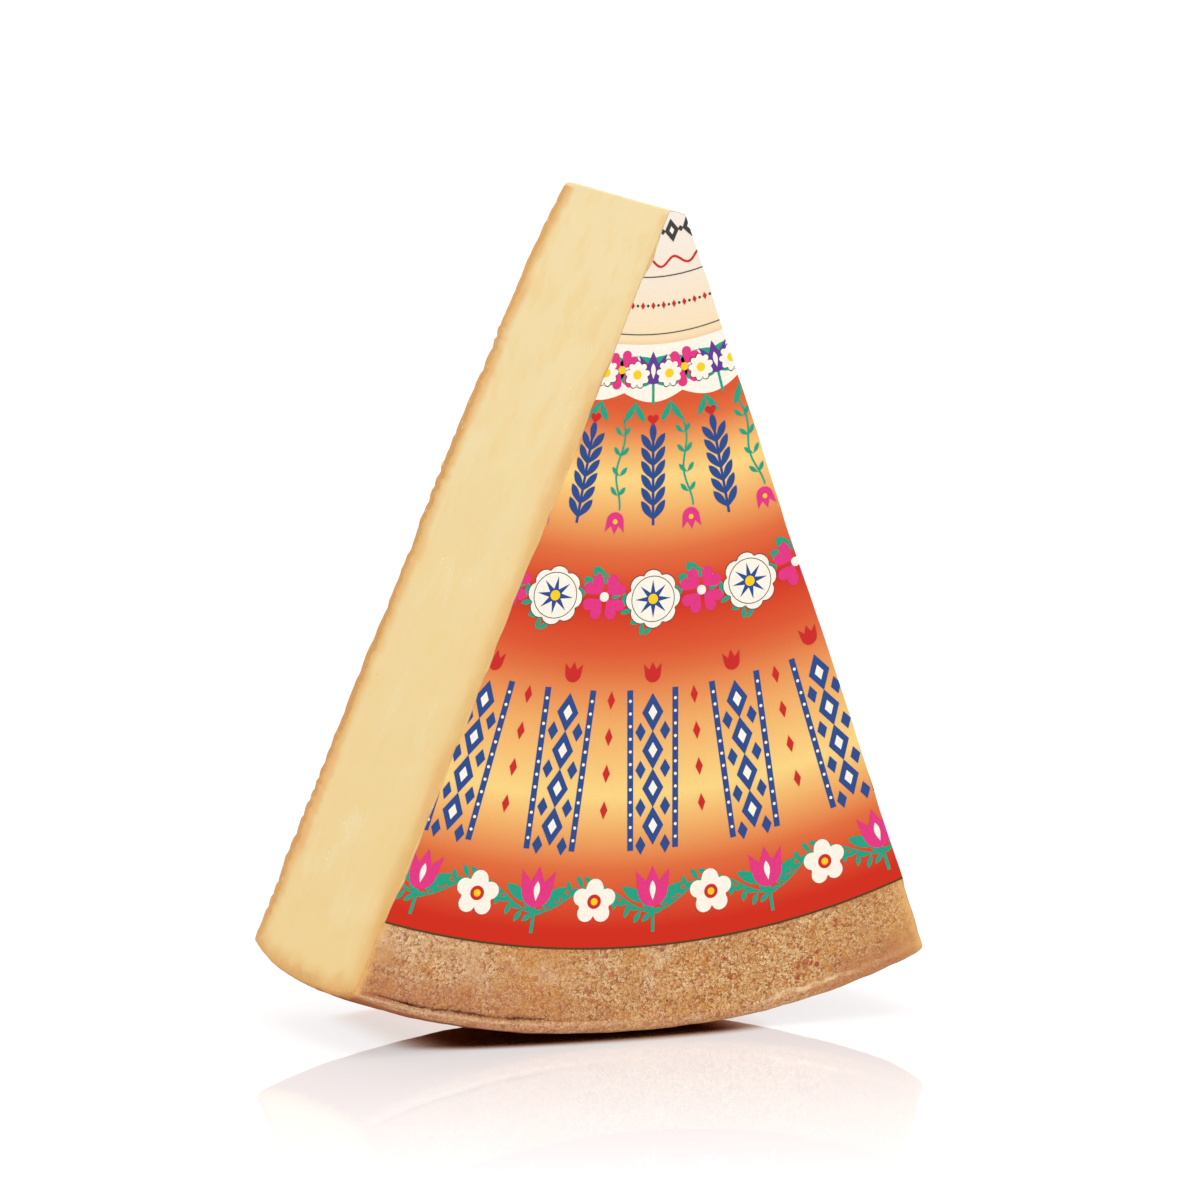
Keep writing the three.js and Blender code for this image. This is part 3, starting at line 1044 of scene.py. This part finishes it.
def vine(radius, swing, period, reach, width, leaf):
    # a teal wave between the motifs, with leaves in pairs along it
    speed = 2 * math.pi / period
    degrees = np.arange(-reach, reach, 0.4)
    ribbon("teal", radius + swing * np.cos(speed * degrees), degrees, width, 1)
    shape = turned(petal(leaf, leaf * 0.36), 128)
    for degrees in np.arange(-reach, reach, period / 10):
        slope = -swing * speed * math.sin(speed * degrees)
        lean = math.degrees(math.atan2(slope, radius * math.radians(1)))
        here = (radius + swing * math.cos(speed * degrees), degrees)
        press("teal", shape, here, 1.3, lean, mirror=mirrorEnds)


motifRows = {  # radius about the label's centre in mm, then reach to each side and step in degrees
    "tipLozenges": (49, 24, 8),
    "redLozenges": (74.5, 27, 3),
    "blooms": (97, 28, 7),
    "ears": (135, 33, 11),
    "stems": (150, 27.5, 11),
    "roundels": (177.5, 36, 12),
    "chains": (238, 34, 8.5),
    "betweenChains": (226, 29.75, 8.5),
    "rimSprigs": (281, 36, 9),
}


def motifRow(name):
    ring, reach, step = motifRows[name]
    return [(ring, degrees) for degrees in np.arange(-reach, reach + step / 2, step)]


def printLabel():
    # the rows go from the tip outwards
    for ring, degrees in motifRow("tipLozenges"):
        press("grey", lozenge(5.4, 8.2), (ring, degrees), 2)
        press("cream", lozenge(1.8, 2.8), (ring, degrees), 3)
        press("grey", lozenge(2.2, 2.2), (ring, degrees + 4), 2)
    arc = np.arange(-30, 30, 0.5)
    ribbon("red", 59.5 + 1.5 * np.sin(np.radians(arc * 36)), arc, 0.8, 2)
    ribbon("grey", 64.5, arc, 0.4, 2)
    ribbon("grey", 84.5, arc, 0.35, 2)
    for ring, degrees in motifRow("redLozenges"):
        press("red", lozenge(1.6, 2.6), (ring, degrees), 2)
        press("grey", disc(0.5, 8), (ring, degrees + 1.5), 2)
    band("cream", arcPoints(105 + 3.2 * np.abs(np.cos(np.radians(arc * 15))), arc), arcPoints(88, arc), 0)
    for i, (ring, degrees) in enumerate(motifRow("blooms")):
        leafPair((ring + 6, degrees + 3.5), 9, 3.2, 1, 62)
        leafPair((ring - 5, degrees + 3.5), 8, 3, 1, 120)
        leafPair((ring + 11, degrees + 3.5), 8, 2.4, 1, 160)
        if i % 2:
            cloverBloom((ring, degrees), 14, "pink", "yellow", 12)
        else:
            tulipSprig((ring, degrees), 11, "purple")
        daisy((ring + 1.5, degrees + 3.5), 9.5, "yellow")
    for ring, degrees in motifRow("ears"):
        wheatEar((ring, degrees), 33, 10, 6)
        press("red", heart(4.2), (ring - 20.5, degrees), 2)
    for ring, degrees in motifRow("stems"):
        up = np.linspace(ring - 36, ring - 4, 40)
        ribbon("teal", up, degrees + 0.5 * np.sin((up - up[0]) / 4), 0.7, 1)
        for i in range(4):
            leafPair((ring - 30 + 7 * i, degrees), 4.2, 1.6, 1.3, 50)
        press("pink", tulip(6.5, 7.5), (ring, degrees), 2, 180)
        press("yellow", disc(0.9, 12), (ring, degrees), 3)
    vine(178, 9, 12, 36, 0.9, 5)
    for ring, degrees in motifRow("roundels"):
        starRoundel((ring, degrees), 20.5, "navy")
        cloverBloom((ring - 1, degrees + 6), 17, "pink", "cream")
    for ring, degrees in motifRow("chains"):
        lozengeChain((ring, degrees), 54, 13, 4)
        press("red", tulip(6, 7), (ring - 34, degrees), 2)
    for ring, degrees in motifRow("betweenChains"):
        for i in range(4):
            press("red", lozenge(2.8, 6.5), (ring + 13 * (i - 1), degrees), 2)
    vine(284, 5, 9, 36, 0.9, 5.4)
    for ring, degrees in motifRow("rimSprigs"):
        tulipSprig((ring, degrees), 14, "pink")
        spot = (ring + 3.5, degrees + 4.5)
        press("cream", lobed(8.2, 5, 0.62), spot, 2)
        press("red", disc(2.6), spot, 3)
        press("yellow", disc(1.3), spot, 4)
    # a dark olive line along the label's outer edge
    ribbon("olive", 301.3, np.arange(-34, 34, 0.4), 0.7, 0)


def makeInk(name):
    material, shader, place = newMaterial(name + "Ink")
    colour = shaded(inks[name], fade(noise(place, 1.1, 3, 0.6), 0.3, 0.75, 0.94, 1.05))
    normal = bumps([(noise(place, 0.6, 3), 0.03 * mm, 0.3)])
    setInputs(shader, {"Base Color": colour, **inkSurface, **normal})
    return material


def trimToLabel(mesh):
    # cuts away what reaches past the two cuts or the tip
    tip = tipDepth + cuts["tipFall"] + sheet["tipGap"]
    planes = [(0, -squareTo(cuts["left"])), (0, squareTo(cuts["right"])), (tip, (0, 0, 1))]
    shapes = bmesh.new()
    shapes.from_mesh(mesh)
    for depth, outwards in planes:
        everything = [*shapes.verts, *shapes.edges, *shapes.faces]
        point = (0, 0, -depth)
        bmesh.ops.bisect_plane(shapes, geom=everything, plane_co=point, plane_no=outwards, clear_outer=True)
    shapes.to_mesh(mesh)
    shapes.free()


def makePrint(name):
    # the ink's shapes as flat faces, in one order round, laid over the sheet layer by layer
    points, faces = [], []
    first = 0
    for shape, layer in printed[name]:
        after = np.roll(shape, -1, axis=0)
        area = (shape[:, 0] * after[:, 1] - shape[:, 1] * after[:, 0]).sum()
        ordered = shape if area < 0 else shape[::-1]
        x = labelArc["x"] + ordered[:, 0] * mm
        z = labelArc["z"] - ordered[:, 1] * mm
        points.append(pointsOf(x, layer * sheet["layer"], z))
        faces.append(range(first, first + len(ordered)))
        first += len(ordered)
    piece = newPiece(name + "Print", np.concatenate(points), faces, [makeInk(name)])
    trimToLabel(piece.data)
    flat = np.zeros(len(piece.data.vertices) * 3)
    piece.data.vertices.foreach_get("co", flat)
    flat = flat.reshape(-1, 3)
    laid = sheetPlace(flat[:, 0], -flat[:, 2], 1 + flat[:, 1] / sheet["layer"])
    piece.data.vertices.foreach_set("co", laid.ravel())
    piece.data.update()
    finishSheet(piece, sheet["ink"])
    print(name, "print:", len(faces), "shapes")


printLabel()
for inkName in inks:
    makePrint(inkName)


stage = {
    "reach": 14,
    "plain": (1, 1, 1, 1),
    # tinted pink, which shows only in the board's shadows as painted warm bounce
    "white": (0.93, 0.87, 0.865, 1),
    "contactWhite": (0.93, 0.46, 0.2, 1),  # painted warm light, bounced from the cheese close above it
    "fill": 0.63,  # how much of the matt board is evenly white, except under the cheese
    "polish": 0.3,  # the mirror's share of the floor's light, near the cheese
    "polishRange": (60 * mm, 440 * mm),  # how far out the polish fades away
    "polishRoughness": 0.02,
    # darkens and warms the polish under the cheese: painted shade and painted warm bounce
    "contactTint": (0.76, 0.66, 0.62, 1),
    "contactPolish": 0.97,  # under the cheese, where next to no light falls on the matt white; this tinted near mirror stands in for the dark contact shade
    "contactX": -17 * mm,
    "contactHalf": 52.5 * mm,
    "contactBow": 2.0,  # how much it narrows towards its ends, per metre
    "contactSkew": 0.08,
    "contactEnd": (43 * mm, 75 * mm),
    "contactBlur": 7 * mm,
    "dip": 2.5 * mm,  # the wedge leans a little forward on its rounded rim, so the board falls away behind
    "fallBack": 0.065,
    "fallRight": 0.02,
    "level": (0.4, 1.2),  # further out the board is level
    "sweep": (0.25, 0.7),  # how far out the board turns into an evenly white backdrop
    "sides": 48,
    "room": 0.9,  # the even light from all round
    "wall": 1.1,  # the white that the camera and the polish see
    "aim": (0, 0, 0.14),
    "softboxes": {  # power, size and place
        "overhead": (21, 1.5, (-0.15, -0.75, 2.2)),
        "leftFront": (2, 1.2, (-1.6, -1.5, 1.0)),
        "rightFront": (3.8, 1.2, (1.5, -1.8, 1.0)),
    },
}


def blendShaders(share, first, second):
    return addNode("MixShader", {0: share, 1: first, 2: second})


def makeBoard():
    # a white board: matt, with a polish that fades outwards and is deep under the cheese, where it carries
    # painted shade and painted warm bounce
    material, shader, place = newMaterial("whiteBoard", unit=1)
    nodes = material.node_tree.nodes
    nodes.remove(shader)
    axes = addNode("SeparateXYZ", {0: place})
    away = vector("LENGTH", place)["Value"]
    aside = abs(axes["X"] - stage["contactX"])
    edge = axes["X"] * stage["contactSkew"] + stage["contactHalf"] - aside * aside * stage["contactBow"]
    blur = stage["contactBlur"]
    # the patch under the cheese that takes the painted shade and painted bounce
    under = fade(abs(axes["Y"]) - edge, -blur, blur, 1, 0) * fade(aside, *stage["contactEnd"], 1, 0)
    polished = fade(away, *stage["polishRange"], stage["polish"], 0)
    share = addNode("Mix", {0: under, 2: polished, 3: stage["contactPolish"]})
    # under the cheese the matt and the glow take the painted warm bounce
    matt = addNode("BsdfDiffuse", {"Color": blendTones(under, stage["white"], stage["contactWhite"])})
    glow = blendTones(under, stage["plain"], stage["contactWhite"])
    backdrop = addNode("Emission", {"Color": glow, "Strength": stage["wall"]})
    matt = blendShaders(under * -stage["fill"] + stage["fill"], matt, backdrop)
    polishShade = blendTones(under, stage["plain"], stage["contactTint"])
    polish = addNode("BsdfGlossy", {"Color": polishShade, "Roughness": stage["polishRoughness"]})
    board = blendShaders(share, matt, polish)
    board = blendShaders(fade(away, *stage["sweep"]), board, backdrop)
    setInputs(nodes["Material Output"], {"Surface": board})
    return material


def makeFloor():
    # rings of points about the origin, in a disc that falls away behind
    turn = np.linspace(0, 2 * math.pi, stage["sides"] + 1)[:-1, None]
    radius = np.concatenate([[0.01], np.linspace(0.2, 1.4, 13), [4, stage["reach"]]])[None, :]
    x, y = radius * np.cos(turn), radius * np.sin(turn)
    fall = stage["dip"] + stage["fallBack"] * y + stage["fallRight"] * x
    points = pointsOf(x, y, -fall * (1 - ease(radius, *stage["level"])))
    number = numbered(*x.shape)
    faces = gridFaces(np.concatenate([number, number[:1]]), True).tolist() + [number[:, 0].tolist()]
    newMesh("floor", points.reshape(-1, 3), faces, [makeBoard()], smooth=True)


def makeLights():
    # an even room that the camera and the polish see as plain white, and the softboxes
    world = bpy.data.worlds.new("studio")
    bpy.context.scene.world = world
    world.use_nodes = True
    tree = world.node_tree
    room = tree.nodes["Background"]
    setInputs(room, {"Color": stage["plain"], "Strength": stage["room"]})
    wall = addNode("Background", {"Color": stage["plain"], "Strength": stage["wall"]}, tree)
    path = addNode("LightPath", {}, tree)
    direct = larger(path["Is Camera Ray"], path["Is Glossy Ray"])
    both = blendShaders(direct, Field(room.outputs[0]), wall)
    setInputs(tree.nodes["World Output"], {"Surface": both})
    for name, (power, size, place) in stage["softboxes"].items():
        data = bpy.data.lights.new(name, "AREA")
        data.energy = power
        data.size = size
        light = addObject(name, data)
        light.location = place
        light.rotation_euler = (Vector(stage["aim"]) - light.location).to_track_quat("-Z", "Y").to_euler()
    bpy.context.scene.view_settings.view_transform = "Standard"


makeFloor()
makeLights()
